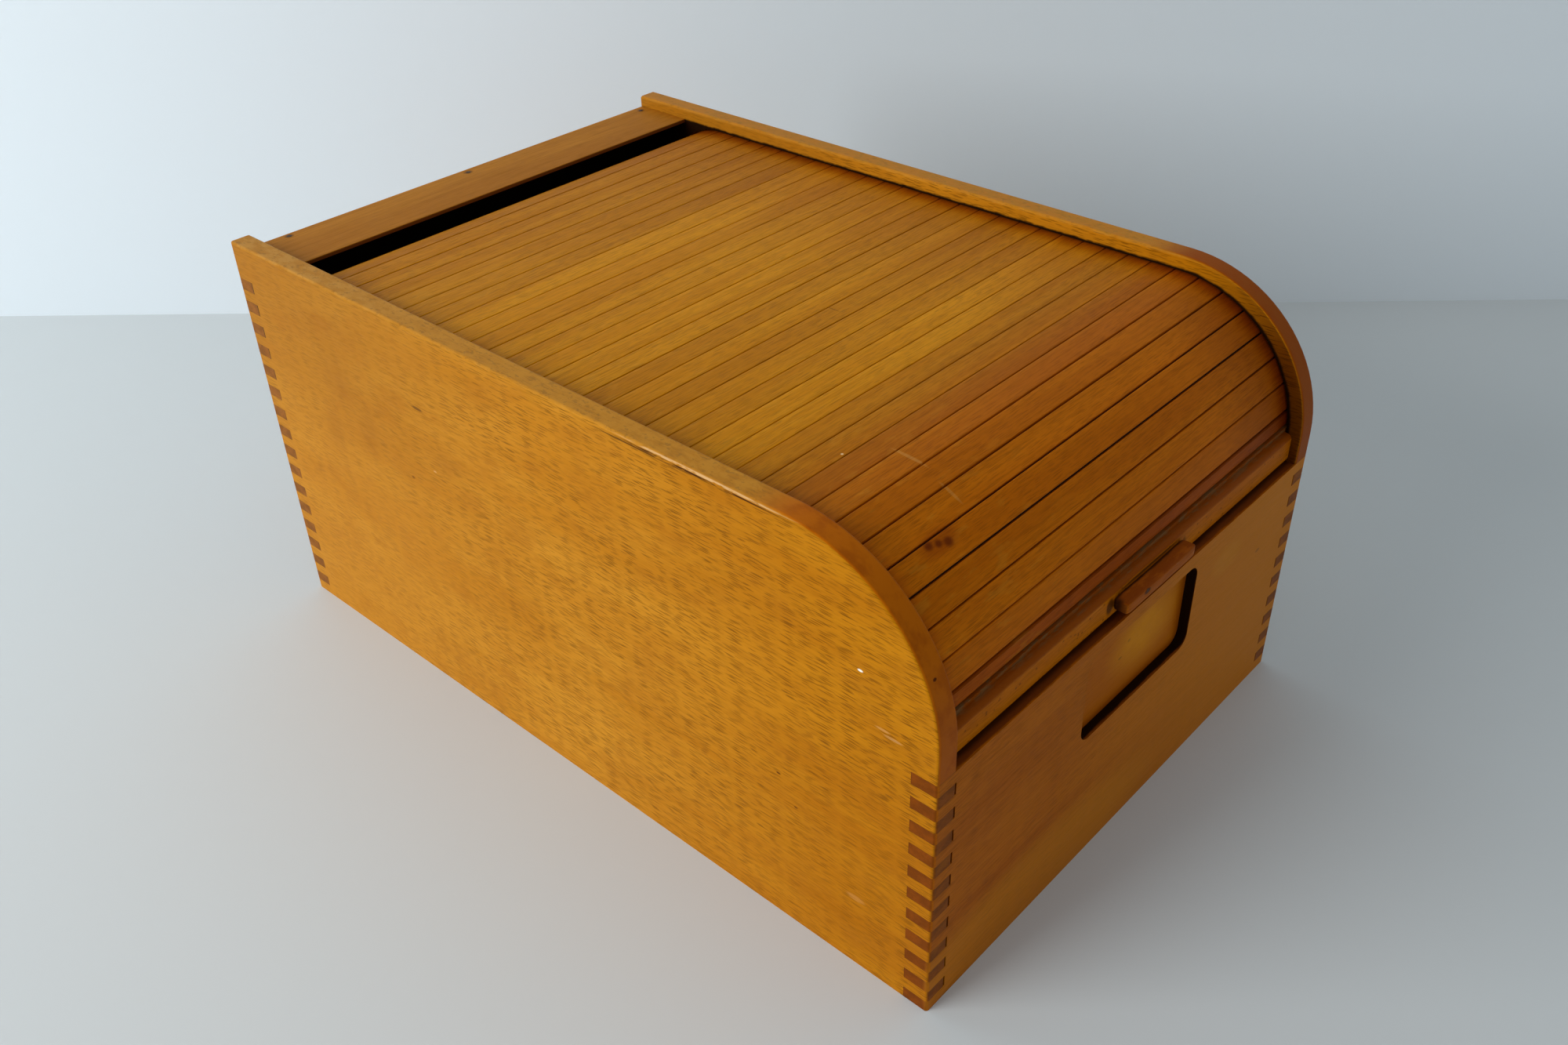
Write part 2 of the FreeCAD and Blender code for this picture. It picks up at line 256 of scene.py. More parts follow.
def side_wear(tree, real, normal, colour):
    """A milky rear, partly painted light, joint lines, pale mottled tops, a red-brown front rim
    and an inside darkened with painted shade.

    The split below the left top edge, a white chip and a few knocks come last.
    """
    x, y, z = apart(tree, real)
    sideways, endways, upwards = apart(tree, normal)
    broad = reckon(tree, "ABSOLUTE", sideways)
    rightness = fade(tree, x, 0, 10)

    # The broad faces: lighter and milkier towards the rear, partly as painted light falling on
    # the rear, darker at the top rear corner, and smudged.
    colour = weigh(tree, fade(tree, y, -155, -5), colour, 1.13, 1.27, 5.0)
    milky = both(tree, fade(tree, y, -10, 120), 0.5)
    colour = over(tree, milky, colour, tint(190, 125, 32))
    corner = both(tree, fade(tree, z, 60, 165), fade(tree, y, -20, 130))
    colour = weigh(tree, corner, colour, 0.8, 0.78, 0.7)
    faint = cloudy(tree, real, (22, 20, 12), 4, 0.65, 3.0)
    colour = over(tree, both(tree, fade(tree, faint, 0.48, 0.68), 0.3), colour,
                  tint(164, 98, 14))
    smudge = tint(158, 98, 20)
    colour = lay(tree, real, colour, (
        ((left_face, 118, 134), (9, 17, 18), smudge, 0.42),
        ((left_face, 102, 117), (9, 11, 16), smudge, 0.4),
        ((left_face, 130, 108), (9, 9, 18), smudge, 0.45),
        ((left_face, 50, 122), (9, 14, 8), smudge, 0.3),
        ((left_face, 128, 158), (9, 40, 9), smudge, 0.3)), soft=0.0)

    # The ends of the fingers in the front, and the joint lines round them.
    lined = finger_lines(tree, real, colour, 0, 108.9)
    ends = fade(tree, reckon(tree, "ABSOLUTE", endways), 0.7, 0.95)
    jointed = fade(tree, z, panel_top + 0.4, panel_top - 0.1)
    colour = over(tree, both(tree, ends, jointed), colour, lined)

    # The top edges, where the varnish is worn off to pale, mottled and pitted wood.
    worn = both(tree, fade(tree, upwards, 0.3, 0.9), fade(tree, y, -128, -104),
                fade(tree, z, side_top - 5.5, side_top - 1.5))
    mottle = cloudy(tree, real, (4, 8, 4), 3, 0.7, 2.0)
    pale = over(tree, fade(tree, y, 30, 150), tint(196, 130, 32), tint(192, 136, 58))
    pale = over(tree, rightness, pale, tint(192, 114, 12))
    colour = over(tree, both(tree, worn, 0.5), colour, tint(180, 112, 16))
    colour = over(tree, both(tree, worn, fade(tree, mottle, 0.4, 0.6), 0.85), colour, pale)
    pits = fade(tree, cloudy(tree, real, (1.4, 2.6, 1.4), 2, 0.6, 9.0), 0.56, 0.68)
    colour = over(tree, both(tree, worn, pits, 0.55), colour, tint(120, 78, 26))
    rim = reckon(tree, "ADD", z, both(tree, cloudy(tree, real, (7, 7, 7), 3, 0.7), 2.5))
    rubbed = both(tree, fade(tree, rim, side_top + 0.1, side_top + 1.3), 0.3)
    colour = over(tree, rubbed, colour, tint(204, 146, 60))

    # The narrow edge round the front bend, rubbed red-brown.
    bend = both(tree, fade(tree, broad, 0.75, 0.5), fade(tree, y, -104, -126),
                fade(tree, z, panel_top - 0.2, panel_top + 0.6))
    brown = over(tree, fade(tree, z, 146, 122), tint(188, 99, 4), tint(176, 90, 10))
    brown = over(tree, rightness, brown, tint(152, 74, 6))
    blotch = fade(tree, cloudy(tree, real, (6, 9, 7), 3, 0.6, 5.0), 0.45, 0.68)
    brown = over(tree, both(tree, blotch, 0.5), brown, tint(150, 66, 2))
    colour = over(tree, bend, colour, brown)

    # The inside: painted shade, darker towards the front where the curtain shades it, and black
    # below the curtain as painted shade in the groove.
    inner = both(tree, fade(tree, broad, 0.6, 0.9),
                 fade(tree, reckon(tree, "ABSOLUTE", x), inner_face + 0.3, inner_face))
    colour = weigh(tree, both(tree, inner, fade(tree, y, -118, -174)), colour, 0.26, 0.17, 0.2)
    run = reckon(tree, "MINIMUM", reckon(tree, "SUBTRACT", y, bend_y), 0)
    rise = reckon(tree, "SUBTRACT", z, bend_z)
    from_bend = reckon(tree, "SQRT", reckon(tree, "ADD", both(tree, run, run),
                                            both(tree, rise, rise)))
    uneven = reckon(tree, "ADD", from_bend, cloudy(tree, real, (4, 4, 4)))
    curtain_shade = both(tree, inner, fade(tree, uneven, bend_radius - 4.0, bend_radius - 5.1))
    colour = over(tree, curtain_shade, colour, tint(26, 9, 2))

    # The split, the chip and the knocks.
    dark = tint(66, 32, 8)
    torn = lay(tree, real, colour, (
        ((left_face, -87, 174.1), (3, 47, 0.5), dark, 0.95),
        ((left_face, -62, 173.4), (3, 30, 0.4), dark, 0.8),
        ((left_face, -88, 174.9), (3, 44, 0.45), chip, 0.6)))
    ragged = cloudy(tree, real, (6, 10, 1.2), 3, 0.7, 6.0)
    colour = over(tree, fade(tree, ragged, 0.38, 0.52), colour, torn)
    return lay(tree, real, colour, (
        ((left_face, -151.3, 133.2), (2, 1.3, 0.6), tint(250, 244, 230), 1.0),
        ((left_face, 63.6, 141.1), (2, 4.2, 0.9), tint(96, 58, 18), 0.75),
        ((left_face, 59.4, 114.9), (2, 1.2, 0.45), tint(228, 190, 140), 0.5),
        ((left_face, 76, 105.5), (2, 1.4, 0.8), tint(110, 62, 16), 0.7),
        ((left_face, -116.6, 69.1), (2, 1.3, 0.5), bruise, 0.9),
        ((left_face, -124, 58), (2, 1.1, 0.45), bruise, 0.8),
        ((left_face, -164, 113.4), (3, 4.5, 0.7), chip, 0.22),
        ((left_face, -160, 115), (3, 3.5, 0.6), chip, 0.2),
        ((left_face, -150, 33), (3, 5, 1.6), chip, 0.1),
        ((-115, -175.4, 140.9), (1.0, 0.7, 0.7), tint(70, 24, 4), 0.9)))


def finish_cad(material, *names):
    """The material goes on CAD pieces whose shapes stay."""
    for name in names:
        for slot in frame["nodes"][name].material_slots:
            slot.material = material


sides = beech("side_beech", "Y", tint(193, 124, 11), tint(179, 108, 4), rays=0.85,
              figure=0.2, end_grain=(1, tint(146, 76, 14)), marks=side_wear)
finish_cad(sides, "left_side", "right_side")


# The front panel: a beech board with the grain across the box, finger-jointed into the sides.
# The shallow routed recess in it takes a label, and has kept a paler floor; its walls and the
# edges of its floor are darkened with painted shade.

# The recess's lower and upper edge and half its length, in millimetres.
recess_low, recess_high, recess_half = 61.7, 99.2, 36.0


def panel_wear(tree, real, normal, colour):
    """Joint lines on the end grain, the recess's floor and walls with painted shade in it,
    painted light that brightens the front face to the right, and a top edge darkened by painted
    shade.
    """
    x, y, z = apart(tree, real)
    sideways, endways, upwards = apart(tree, normal)
    aside = reckon(tree, "ABSOLUTE", sideways)
    ahead = reckon(tree, "ABSOLUTE", endways)
    off_middle = reckon(tree, "ABSOLUTE", x)
    ends = both(tree, fade(tree, aside, 0.7, 0.95), fade(tree, off_middle, 118.0, 118.4))
    colour = over(tree, ends, colour, finger_lines(tree, real, colour, 1, 170.9))
    fronts = fade(tree, ahead, 0.6, 0.9)
    # Painted light: the front face brighter towards the right.
    colour = over(tree, both(tree, fade(tree, x, -100, 110), fronts, 0.8), colour,
                  tint(205, 125, 16))

    # The recess: its floor, paler in the middle and darker by its lower and right walls as
    # painted shade, and its walls, darkened with painted shade, near black at their outer edge.
    opening = both(tree, between(tree, z, recess_low, recess_high, 0.3),
                   fade(tree, off_middle, recess_half + 0.3, recess_half),
                   fade(tree, y, -170.0, -173.0))
    sunk = both(tree, opening, fade(tree, y, -178.6, -177.6), fronts)
    kept = both(tree, spot(tree, real, (9, -177, 83), (30, 9, 18), 0.2),
                reckon(tree, "ADD", 0.5, cloudy(tree, real, (9, 9, 7), 3, 0.6)))
    colour = over(tree, both(tree, sunk, 0.5), colour, tint(182, 94, 4))
    colour = over(tree, both(tree, sunk, kept, 0.9), colour, tint(214, 135, 8))
    # Painted shade: the floor darker along its lower and right walls.
    rims = reckon(tree, "MAXIMUM", fade(tree, z, recess_low + 5.5, recess_low + 0.3),
                  fade(tree, x, recess_half - 7, recess_half - 0.5))
    colour = over(tree, both(tree, rims, sunk, 0.7), colour, tint(150, 68, 0))
    # Painted shade: the walls darkened, near black at their outer edge.
    wall = both(tree, opening, fade(tree, ahead, 0.8, 0.5))
    colour = over(tree, both(tree, wall, 0.6), colour, tint(120, 58, 8))
    shade_and_grime = reckon(tree, "ADD", y, cloudy(tree, real, (5, 1, 5)))
    reach = reckon(tree, "ADD", shade_and_grime, both(tree, aside, 0.8))
    colour = over(tree, both(tree, wall, fade(tree, reach, -180.2, -179.2)), colour,
                  tint(26, 9, 2))

    # The top edge, under the lead bar: painted shade, darker towards the back.
    top = both(tree, fade(tree, upwards, 0.5, 0.9),
               fade(tree, z, panel_top - 1.0, panel_top - 0.3))
    edge = reckon(tree, "ADD", y, both(tree, cloudy(tree, real, (12, 2, 2), 3, 0.6), 1.6))
    colour = over(tree, both(tree, top, fade(tree, edge, -180.2, -179.0)), colour,
                  tint(112, 52, 8))
    colour = over(tree, both(tree, top, fade(tree, edge, -178.6, -176.6), 0.8), colour,
                  tint(48, 20, 4))
    return lay(tree, real, colour, (
        ((-7, -177, 80), (1.6, 2, 0.6), tint(120, 74, 10), 0.6),
        ((-2, -177, 85), (1.2, 2, 0.9), tint(140, 84, 10), 0.5),
        ((88, front_face, 76), (2.2, 2, 1.0), tint(120, 70, 14), 0.5),
        ((60, front_face, 88), (14, 3, 8), tint(208, 140, 36), 0.25),
        ((-60, front_face, 12), (100, 3, 26), tint(216, 140, 24), 0.35),
        ((-70, front_face, 60), (22, 3, 14), tint(200, 116, 12), 0.2)))


panels = beech("panel_beech", "X", tint(187, 102, 6), tint(174, 90, 2), rays=0.55,
               figure=0.45, shift=40.0, end_grain=(0, tint(134, 66, 6)), marks=panel_wear)
finish_cad(panels, "front_panel")


# The back panel: a beech board like the front one, 160 mm high, with the same joints. Nothing
# marks its outside but its joint lines.

def back_wear(tree, real, normal, colour):
    """Joint lines on the end grain of the fingers, and the inside painted black as shade
    towards its top.
    """
    _, y, z = apart(tree, real)
    ends = fade(tree, reckon(tree, "ABSOLUTE", apart(tree, normal)[0]), 0.7, 0.95)
    colour = over(tree, ends, colour, finger_lines(tree, real, colour, 1, 170.9))
    # Painted shade: the upper inside of the panel near black.
    inside = both(tree, fade(tree, y, 171.6, 171.2), fade(tree, z, 90, 140))
    return over(tree, inside, colour, tint(14, 7, 3))


backs = beech("back_beech", "X", tint(192, 122, 28), tint(176, 104, 16), rays=0.3, figure=0.35,
              shift=60.0, end_grain=(0, tint(149, 90, 30)), marks=back_wear)
finish_cad(backs, "back_panel")


# The rail behind the curtain: a beech lath, duller than the rest, planed thin towards the front
# and nailed on the back panel's top edge with three small nails.

rail_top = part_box("rear_rail")[1][2]
nails = ((-0.0944, 0.1780), (-0.0022, 0.1771), (0.1045, 0.1764))


def rail_wear(tree, real, normal, colour):
    """Painted shade: a darker front face and a near-black underside. A little dirt round each
    nail.
    """
    _, endways, upwards = apart(tree, normal)
    # Painted shade on the rail's front face and underside.
    colour = over(tree, fade(tree, endways, -0.4, -0.9), colour, tint(104, 56, 14))
    colour = over(tree, fade(tree, upwards, -0.2, -0.6), colour, tint(14, 7, 3))
    return lay(tree, real, colour, [
        ((1000 * x, 1000 * y, 1000 * rail_top), (dirt, 2.2, 1), tint(84, 44, 14), 0.6)
        for (x, y), dirt in zip(nails, (2.6, 3.0, 2.4))])


rail = beech("rail_beech", "X", tint(188, 121, 33), tint(172, 106, 23), rays=0.18, figure=0.5,
             shift=80.0, gloss=0.52, end_grain=(0, tint(140, 80, 26)), marks=rail_wear)
finish_cad(rail, "rear_rail")

steel = bpy.data.materials.new("nail_steel")
steel.use_nodes = True
grey = steel.node_tree
head = grey.nodes["Principled BSDF"]
head.inputs["Roughness"].default_value = 0.6
head.inputs["Metallic"].default_value = 0.5
on_nail = in_millimetres(grey, part_of(grey, "TexCoord").outputs["Object"])
rust = fade(grey, cloudy(grey, on_nail, (0.7, 0.7, 0.7)), 0.35, 0.65)
grey.links.new(over(grey, rust, tint(74, 60, 48), tint(58, 30, 14)), head.inputs["Base Color"])


def walls(rings, points, first=0):
    """The four-cornered faces between rings of points, which are numbered ring by ring."""
    i, j = np.meshgrid(np.arange(rings - 1), np.arange(points), indexing="ij")
    here, beside = first + i * points + j, first + i * points + (j + 1) % points
    return np.stack([here, beside, beside + points, here + points], -1).reshape(-1, 4)


def piece_of(name, points, faces, material):
    """A new piece of that material, with its surface shaded smooth."""
    mesh = bpy.data.meshes.new(name)
    mesh.from_pydata(points.tolist(), [], faces)
    mesh.shade_smooth()
    mesh.materials.append(material)
    piece = bpy.data.objects.new(name, mesh)
    bpy.context.scene.collection.objects.link(piece)
    return piece


def nail_head(name, middle, out, radius, rise):
    """A low round head: rings that shrink by the sine, while they rise by the cosine.

    It stands out from middle along out, which is a side of the frame, and starts 0.2 mm below
    the wood.
    """
    around, below = 20, -0.0002
    turn = np.linspace(0, 2 * np.pi, around, endpoint=False)
    lift = np.linspace(np.pi / 2, 0, 6)
    size = np.r_[1.0, np.sin(lift[:-1])] * radius
    high = np.r_[below, np.cos(lift[:-1]) * rise]
    out = np.array(out, float)
    first = np.roll(out, 1)
    second = np.cross(out, first)
    rings = (np.array(middle) + high[:, None, None] * out
             + size[:, None, None] * (np.cos(turn)[None, :, None] * first
                                      + np.sin(turn)[None, :, None] * second))
    points = np.concatenate([rings.reshape(-1, 3), [np.array(middle) + rise * out]])
    last = (len(size) - 1) * around
    cap = [[last + k, last + (k + 1) % around, len(points) - 1] for k in range(around)]
    foot = [list(range(around - 1, -1, -1))]
    return piece_of(name, points, walls(len(size), around).tolist() + cap + foot, steel)


for number, (x, y) in enumerate(nails, 1):
    nail = nail_head("rail_nail_%d" % number, (x, y, rail_top), (0, 0, 1), 0.0011, 0.00015)
    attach(nail, "case")


# The boards inside: a plywood bottom, a floor over the curtain's run and a lining before its
# back run, all bare.

ply = beech("plywood", "Y", tint(190, 148, 92), tint(164, 120, 66), rays=0.1, figure=0.6,
            shift=200.0, gloss=0.7)
finish_cad(ply, "bottom_board", "inner_floor", "inner_back")


# The lead bar, the curtain's first and thickest lath, of beech. Handling has left its face pale
# and freckled and its ledge dark, with dust in the corner under the strip.

def lead_wear(tree, real, normal, colour):
    """A freckled face, a dark ledge, dust along its inner corner, painted shade along its foot,
    and dirt with painted shade round the lip.
    """
    z = apart(tree, real)[2]
    freckles = dashes(tree, real, (2.2, 1.6, 1.6), 0.45, 5.0, 0.32)
    colour = over(tree, both(tree, freckles, 0.75), colour, tint(110, 56, 6))
    height = reckon(tree, "ADD", z, cloudy(tree, real, (14, 2, 2), 3, 0.6))
    colour = over(tree, both(tree, fade(tree, height, 115.5, 116.6), 0.93), colour,
                  tint(142, 66, 4))
    dust = both(tree, fade(tree, height, 117.6, 118.0),
                fade(tree, cloudy(tree, real, (7, 2, 2), 3, 0.7, 4.0), 0.42, 0.6))
    colour = over(tree, both(tree, dust, 0.7), colour, tint(120, 96, 60))
    # Painted shade along the bar's foot, above the panel's top edge.
    under = fade(tree, z, panel_top + 1.3, panel_top + 0.5)
    colour = over(tree, both(tree, under, 0.6), colour, tint(70, 32, 8))
    # Dirt round the lip, with painted shade in the joint above it and at its left end.
    shade_and_grime = tint(60, 26, 8)
    return lay(tree, real, colour, (
        ((3.7, -177.5, 114.6), (25, 1.4, 0.8), shade_and_grime, 0.8),
        ((-20.6, -177.5, 111.4), (2.8, 1.4, 4.2), shade_and_grime, 0.8),
        ((28.0, -177.5, 110.6), (1.6, 1.4, 4.0), shade_and_grime, 0.5)))


lead = beech("lead_beech", "X", tint(204, 118, 4), tint(190, 102, 0), rays=0.35, figure=0.5,
             shift=120.0, marks=lead_wear)
finish_cad(lead, "lead_bar")


# The pull lip: a small beech block glued and pinned to the lead bar, for a finger to hook under.
# Long use has rounded it off and rubbed its top red-brown.

def lip_wear(tree, real, normal, colour):
    """A red-brown top, a dark line of dirt and painted shade along its back, a dark left end,
    and dirt round the pin.
    """
    x, y, _ = apart(tree, real)
    top = fade(tree, apart(tree, normal)[2], 0.3, 0.8)
    colour = over(tree, both(tree, top, 0.85), colour, tint(136, 60, 4))
    rubbed = both(tree, top, fade(tree, cloudy(tree, real, (9, 3, 3), 3, 0.6), 0.5, 0.65))
    colour = over(tree, both(tree, rubbed, 0.5), colour, tint(176, 90, 12))
    # Dirt and painted shade in the joint along the lip's back.
    back = reckon(tree, "ADD", y, cloudy(tree, real, (6, 2, 2)))
    colour = over(tree, both(tree, fade(tree, back, -178.5, -177.6), 0.9), colour,
                  tint(46, 20, 8))
    end = reckon(tree, "ADD", x, both(tree, cloudy(tree, real, (2, 2, 2)), 1.6))
    left_end = both(tree, fade(tree, end, -15.4, -18.4), fade(tree, y, -182.6, -179.5))
    colour = over(tree, left_end, colour, tint(60, 28, 10))
    return lay(tree, real, colour, (
        ((-6.6, -183.3, 112.6), (2.6, 1.2, 1.3), tint(64, 32, 12), 0.85),))


def worn_block(name, low, high, powers, sag, material):
    """A block as a squashed ball: each coordinate of a ball, raised to a small power.

    The power leaves its faces nearly flat and rounds its edges. Its top sags in the middle by a
    cosine of the place along it.
    """
    low, high = np.array(low), np.array(high)
    rings, around = 31, 64
    level = np.linspace(0, np.pi, rings + 2)[1:-1, None]
    turn = np.linspace(0, 2 * np.pi, around, endpoint=False)[None, :]
    axes = [np.cos(level) + 0 * turn, np.sin(level) * np.cos(turn), np.sin(level) * np.sin(turn)]
    ball = np.stack([np.sign(a) * np.abs(a) ** p for a, p in zip(axes, powers)], -1)
    ball = np.concatenate([[[1.0, 0, 0]], ball.reshape(-1, 3), [[-1.0, 0, 0]]])
    points = (low + high) / 2 + ball * (high - low) / 2
    points[:, 2] -= sag * (ball[:, 2] > 0) * np.cos(ball[:, 0] * np.pi / 2) ** 2
    last = len(points) - 1
    outward = walls(rings, around, 1)[:, [0, 3, 2, 1]].tolist()
    caps = [[0, 1 + k, 1 + (k + 1) % around] for k in range(around)]
    caps += [[last, last - around + (k + 1) % around, last - around + k] for k in range(around)]
    return piece_of(name, points, outward + caps, material)


lip_wood = beech("lip_beech", "X", tint(184, 100, 6), tint(164, 80, 2), rays=0.3, figure=0.5,
                 shift=150.0, end_grain=(0, tint(140, 72, 16)), marks=lip_wear)
lip_low, lip_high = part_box("pull_lip")
lip = worn_block("worn_lip", lip_low, lip_high, (0.12, 0.28, 0.28), 0.0003, lip_wood)
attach(lip, "lid_lead")
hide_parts("pull_lip")
pin_place = (-0.0066, lip_low[1] + 0.0001, 0.1125)
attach(nail_head("lip_pin", pin_place, (0, -1, 0), 0.0010, 0.0001), "lid_lead")


# The curtain: a narrow strip and 34 thin beech slats, glued side by side on canvas. Each comes
# from its own place in the plank, so its shade and figure differ, and the joints vary in width.

def slat_wear(tree, real, normal, colour):
    """The front of the curtain is handled and redder. Painted shade darkens the top towards the
    right, the right end of the bend and the slats' ends by the grooves, and a painted reflection
    dulls the rear.

    The strip at the front is darkest, with painted shade and dust along its edges. A milky film,
    three pinholes, a scratch and specks come last.
    """
    x, y, z = apart(tree, real)
    handled = fade(tree, y, -80, -130)
    colour = weigh(tree, handled, colour, 1.0, 0.69, 0.3)
    # Painted shade: the top darker towards the right, where the light falls off.
    far = both(tree, fade(tree, x, 10, 108), fade(tree, y, -112, -85))
    colour = weigh(tree, far, colour, 0.82, 0.72, 0.5)
    # Painted reflection: the rear slats a little duller and bluer, as a grazing sheen.
    colour = weigh(tree, fade(tree, y, 60, 130), colour, 0.88, 0.84, 1.0)
    round_top = both(tree, between(tree, y, -136, -100, 12), 0.75)
    colour = weigh(tree, round_top, colour, 0.8, 0.82, 0.8)
    # Painted shade: the right end of the bend, in the right side's shadow.
    shaded = both(tree, fade(tree, x, 55, 108), fade(tree, y, -110, -150))
    colour = weigh(tree, shaded, colour, 0.62, 0.55, 0.5)
    # Painted shade: the slats' ends dark beside the side boards.
    tips = fade(tree, reckon(tree, "ABSOLUTE", x), 99, 109.5)
    colour = weigh(tree, tips, colour, 0.6, 0.36, 0.3)
    strip = both(tree, fade(tree, z, 126.4, 125.8), fade(tree, y, -170, -172))
    colour = weigh(tree, strip, colour, 0.66, 0.5, 0.2)
    # Painted shade in the gaps along both edges of the strip, with dust in the lower one.
    strip_edges = reckon(tree, "MAXIMUM", fade(tree, z, 125.0, 126.2),
                         fade(tree, z, 120.4, 119.4))
    colour = over(tree, both(tree, strip, strip_edges, 0.8), colour, tint(50, 20, 4))
    film = fade(tree, cloudy(tree, real, (12, 4, 4), 3, 0.6), 0.56, 0.68)
    colour = over(tree, both(tree, film, fade(tree, x, 10, -100), 0.2), colour,
                  tint(208, 146, 40))
    pale, dark = tint(222, 168, 84), tint(70, 26, 4)
    colour = lay(tree, real, colour, (
        ((-86.4, -150.6, 159.9), (2.7, 2.2, 2.2), dark, 1.0),
        ((-82.6, -151.4, 159.2), (2.3, 2.0, 2.0), dark, 1.0),
        ((-79.0, -152.3, 158.5), (2.9, 2.4, 2.4), dark, 1.0)), soft=0.25)
    return lay(tree, real, colour, (
        ((-62.0, -124, 168), (1.0, 9, 5), pale, 0.27),
        ((-64.5, -142, 164), (0.9, 6, 6), pale, 0.22),
        ((-74.6, -107, 168.7), (0.6, 0.6, 1), tint(240, 214, 160), 0.9),
        ((0.4, -39, 168.7), (0.5, 4, 1), dark, 0.4),
        ((-82, -151, 159.5), (11, 5, 5), tint(150, 62, 0), 0.5)))


slat_wood = beech("slat_beech", "X", tint(210, 137, 8), tint(197, 123, 0), rays=0.42,
                  figure=0.75, gloss=0.44, marks=slat_wear, planks=True)


def seat(name):
    """A CAD slat's section: the middle of its foot, the ways across and out, width, thickness.

    The way across is the direction in which the corners spread most.
    """
    mesh = frame["nodes"][name].data
    corners = np.empty(len(mesh.vertices) * 3)
    mesh.vertices.foreach_get("co", corners)
    section = np.unique(np.round(corners.reshape(-1, 3)[:, 1:], 6), axis=0)
    middle = section.mean(axis=0)
    across = np.linalg.svd(section - middle)[2][0]
    across = across * np.sign(across[0] if abs(across[0]) > 0.2 else across[1])
    out = np.array([-across[1], across[0]])
    run, rise = (section - middle) @ across, (section - middle) @ out
    foot = middle + across * (run.min() + run.max()) / 2 + out * rise.min()
    return foot, across, out, np.ptp(run), np.ptp(rise)


def slat(name, edges, tone, plank, arris):
    """A slat as a section carried along X: an oblong with two rounded upper arrises.

    Each arris is a quarter circle. The face between them is crowned by a parabola. edges gives,
    for each long edge, how much wood it has more than the CAD slat and how that changes along X.
    """
    foot, across, out, width, thickness = seat(name)
    reach, crown_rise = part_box(name)[1][0], 0.00003

    # The section, as places across (u) and out from the canvas (v).
    bend = np.linspace(0, np.pi / 2, 6)
    from_edge = np.r_[0, 0, arris * (1 - np.cos(bend))]
    rise = np.r_[0.0, thickness * 0.5, thickness - arris + arris * np.sin(bend)]
    crown = np.linspace(0.8, 0, 4)
    half_u = np.r_[from_edge - width / 2, (arris - width / 2) * crown]
    half_v = np.r_[rise, thickness + crown_rise * (1 - crown ** 2)]
    u = np.r_[half_u, -half_u[-2::-1]]
    v = np.r_[half_v, half_v[-2::-1]]

    # The section at each station along X, with its long edges moved by the wood there is more.
    stations = np.linspace(-reach, reach, 19)
    share = stations[:, None] / reach
    more = np.where(u < 0, -(edges[0][0] + edges[0][1] * share),
                    edges[1][0] + edges[1][1] * share) * (np.abs(u) > width * 0.4)
    yz = foot + (u + more)[..., None] * across + (v + 0 * share)[..., None] * out
    x = np.broadcast_to(stations[:, None, None], yz.shape[:2] + (1,))
    points = np.concatenate([x, yz], axis=2).reshape(-1, 3)
    rings, around = len(stations), len(u)
    ends = [list(range(around - 1, -1, -1)), list(range(around * (rings - 1), around * rings))]
    piece = piece_of("wood_" + name, points, walls(rings, around).tolist() + ends, slat_wood)
    piece.data.set_sharp_from_angle(angle=math.radians(50))
    for label, value in (("tone", tone), ("plank", plank)):
        piece.data.attributes.new(label, "FLOAT", "POINT").data.foreach_set(
            "value", np.full(len(points), value))
    return piece


luck = np.random.default_rng(17)
for body, names in frame["record"]["behaviour"]["bodies"].items():
    for name in sorted(names):
        if name.startswith("slat_") or name == "lead_strip":
            edges = [(luck.uniform(-0.00004, 0.00013), luck.uniform(-0.00005, 0.00004))
                     for _ in range(2)]
            tone, plank = np.clip(luck.normal(0, 0.24), -0.6, 0.6), luck.uniform(0, 900)
            if name == "lead_strip":
                strip_edges = [(-0.0002, 0.0), (-0.0007, 0.0001)]
                piece = slat(name, strip_edges, 0.0, plank, arris=0.0009)
            else:
                piece = slat(name, edges, tone, plank, arris=0.00035)
            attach(piece, body)
            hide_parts(name)


# The canvas that the slats are glued to: cotton, dark brown with old glue and dust.

cloth = bpy.data.materials.new("canvas")
cloth.use_nodes = True
weave = cloth.node_tree
cotton = weave.nodes["Principled BSDF"]
cotton.inputs["Roughness"].default_value = 0.92
on_cloth = in_millimetres(weave, part_of(weave, "TexCoord").outputs["Object"])
warp, weft = (part_of(weave, "TexWave", {"Vector": on_cloth, "Scale": 1.4, "Distortion": 0.6},
                      bands_direction=way).outputs["Fac"] for way in "XY")
threads = both(weave, warp, weft)
weave.links.new(over(weave, threads, tint(40, 26, 12), tint(70, 50, 28)),
                cotton.inputs["Base Color"])
ribbed = part_of(weave, "Bump", {"Strength": 0.4, "Distance": 0.0001, "Height": threads})
weave.links.new(ribbed.outputs[0], cotton.inputs["Normal"])
finish_cad(cloth, *[name for name in frame["nodes"] if name.startswith("canvas")])


# The stage: a plain pale floor with a plain backdrop behind it, one wide soft light from the
# left, and the camera above the front left corner.

def plain(name, corners, colour):
    """A flat pale sheet that isn't part of the object, and doesn't show from behind."""
    paint = bpy.data.materials.new(name)
    paint.use_nodes = True
    tree = paint.node_tree
    surface = tree.nodes["Principled BSDF"]
    surface.inputs["Base Color"].default_value = colour
    surface.inputs["Roughness"].default_value = 0.9
    surface.inputs["Specular IOR Level"].default_value = 0.1
    behind = part_of(tree, "NewGeometry").outputs["Backfacing"]
    clear = part_of(tree, "BsdfTransparent").outputs[0]
    one_sided = part_of(tree, "MixShader", {0: behind, 1: surface.outputs[0], 2: clear})
    tree.links.new(one_sided.outputs[0], tree.nodes["Material Output"].inputs[0])
    piece_of(name, np.array(corners), [list(range(len(corners)))], paint)


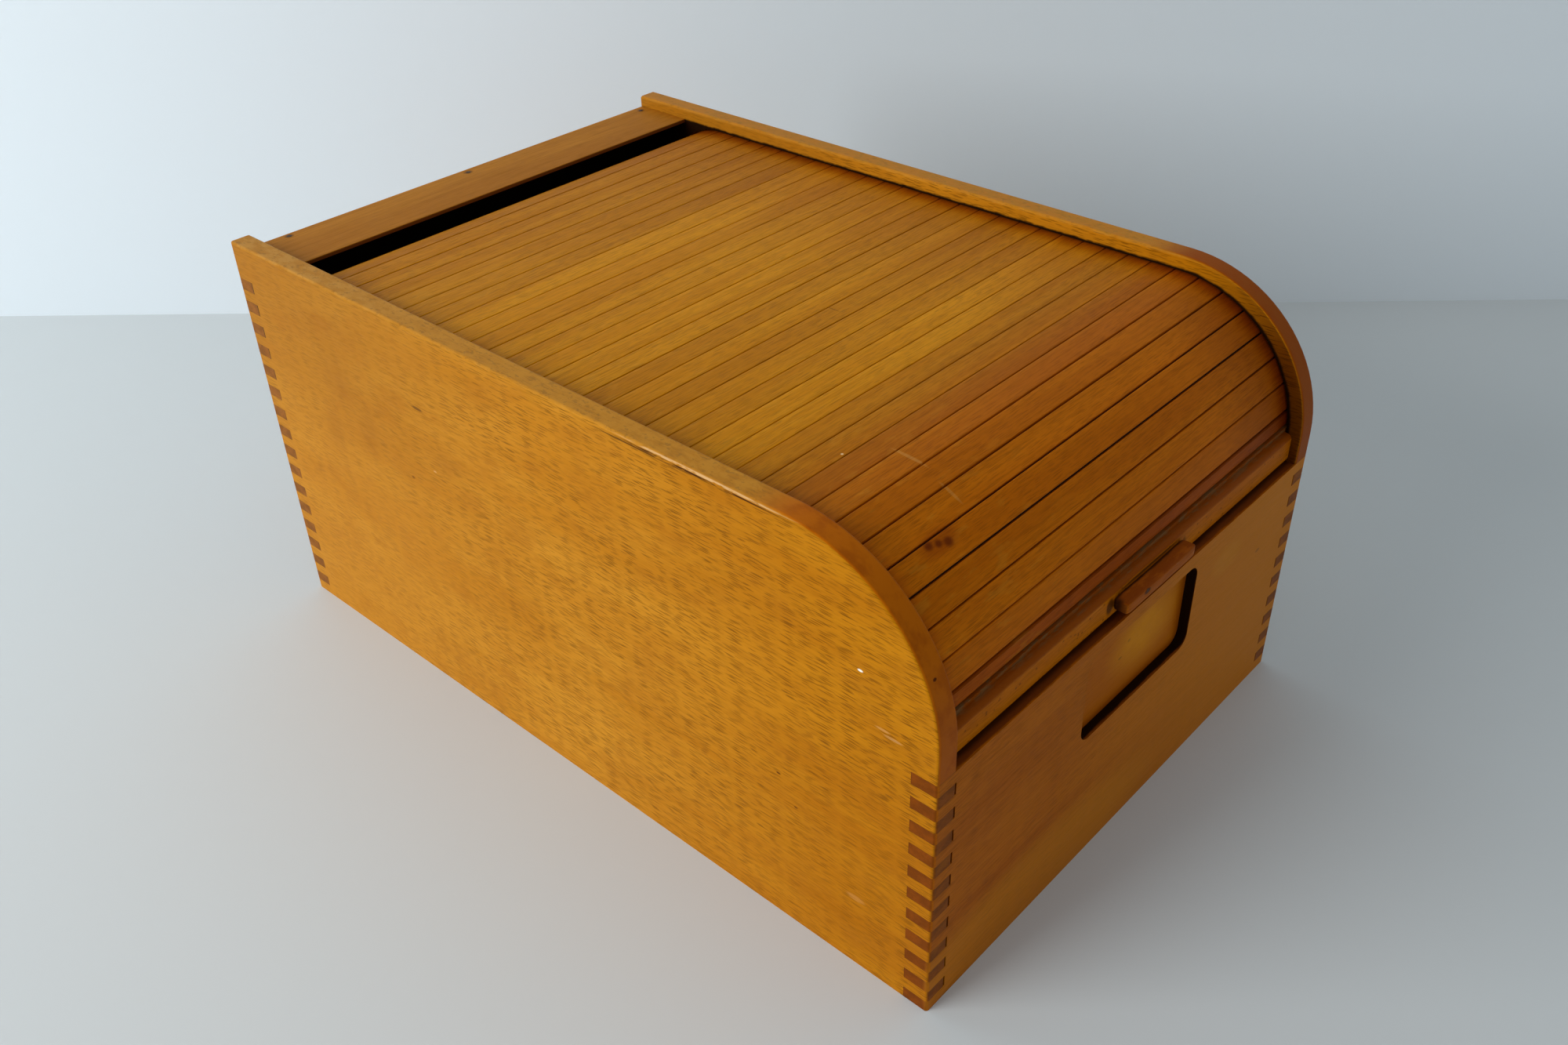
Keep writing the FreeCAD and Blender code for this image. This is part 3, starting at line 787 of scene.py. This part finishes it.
start, along_wall = np.array([0.4646, -0.0534]), np.array([-0.652, 0.758])
off_wall = np.array([-0.758, -0.652])
reach, wall_height = 4, 3
left_end, right_end = start + reach * along_wall, start - reach * along_wall
plain("table", [(*(right_end + reach * off_wall), 0), (*right_end, 0), (*left_end, 0),
                (*(left_end + reach * off_wall), 0)], tint(215, 221, 222))
plain("wall", [(*right_end, 0), (*right_end, wall_height), (*left_end, wall_height),
               (*left_end, 0)], tint(230, 240, 246))

world = bpy.data.worlds.new("room")
bpy.context.scene.world = world
world.use_nodes = True
world.node_tree.nodes["Background"].inputs["Color"].default_value = (0.96, 0.98, 1.0, 1)
world.node_tree.nodes["Background"].inputs["Strength"].default_value = 0.36

lamp = bpy.data.lights.new("window", "AREA")
lamp.shape = "RECTANGLE"
lamp.size = 1.3
lamp.size_y = 1.0
lamp.energy = 29
window = bpy.data.objects.new("window", lamp)
bpy.context.scene.collection.objects.link(window)
towards = mathutils.Vector((-0.85, 0.35, 0.38)).normalized()
lamp_distance, lit_middle = 2.0, mathutils.Vector((0, 0, 0.08))
window.location = lit_middle + towards * lamp_distance
window.rotation_euler = towards.to_track_quat("Z", "Y").to_euler()

camera = bpy.data.cameras.new("camera")
camera.sensor_width = 36
camera.lens = 32.84
eye = bpy.data.objects.new("camera", camera)
bpy.context.scene.collection.objects.link(eye)
# The camera's place and turn are fitted to the edges of the box in the photograph.
eye_place = (-0.364986, -0.353508, 0.408087)
azimuth, elevation, roll = math.radians(-46.8319), math.radians(34.8477), 0.0301
back = np.array([math.sin(azimuth) * math.cos(elevation),
                 -math.cos(azimuth) * math.cos(elevation), math.sin(elevation)])
right = np.cross(-back, (0, 0, 1))
right /= np.linalg.norm(right)
down = np.cross(-back, right)
axes = np.array([math.cos(roll) * right + math.sin(roll) * down,
                 math.sin(roll) * right - math.cos(roll) * down, back]).T
eye.matrix_world = (mathutils.Matrix.Translation(eye_place)
                    @ mathutils.Matrix(axes.tolist()).to_4x4())
bpy.context.scene.camera = eye
bpy.context.scene.view_settings.view_transform = "Standard"
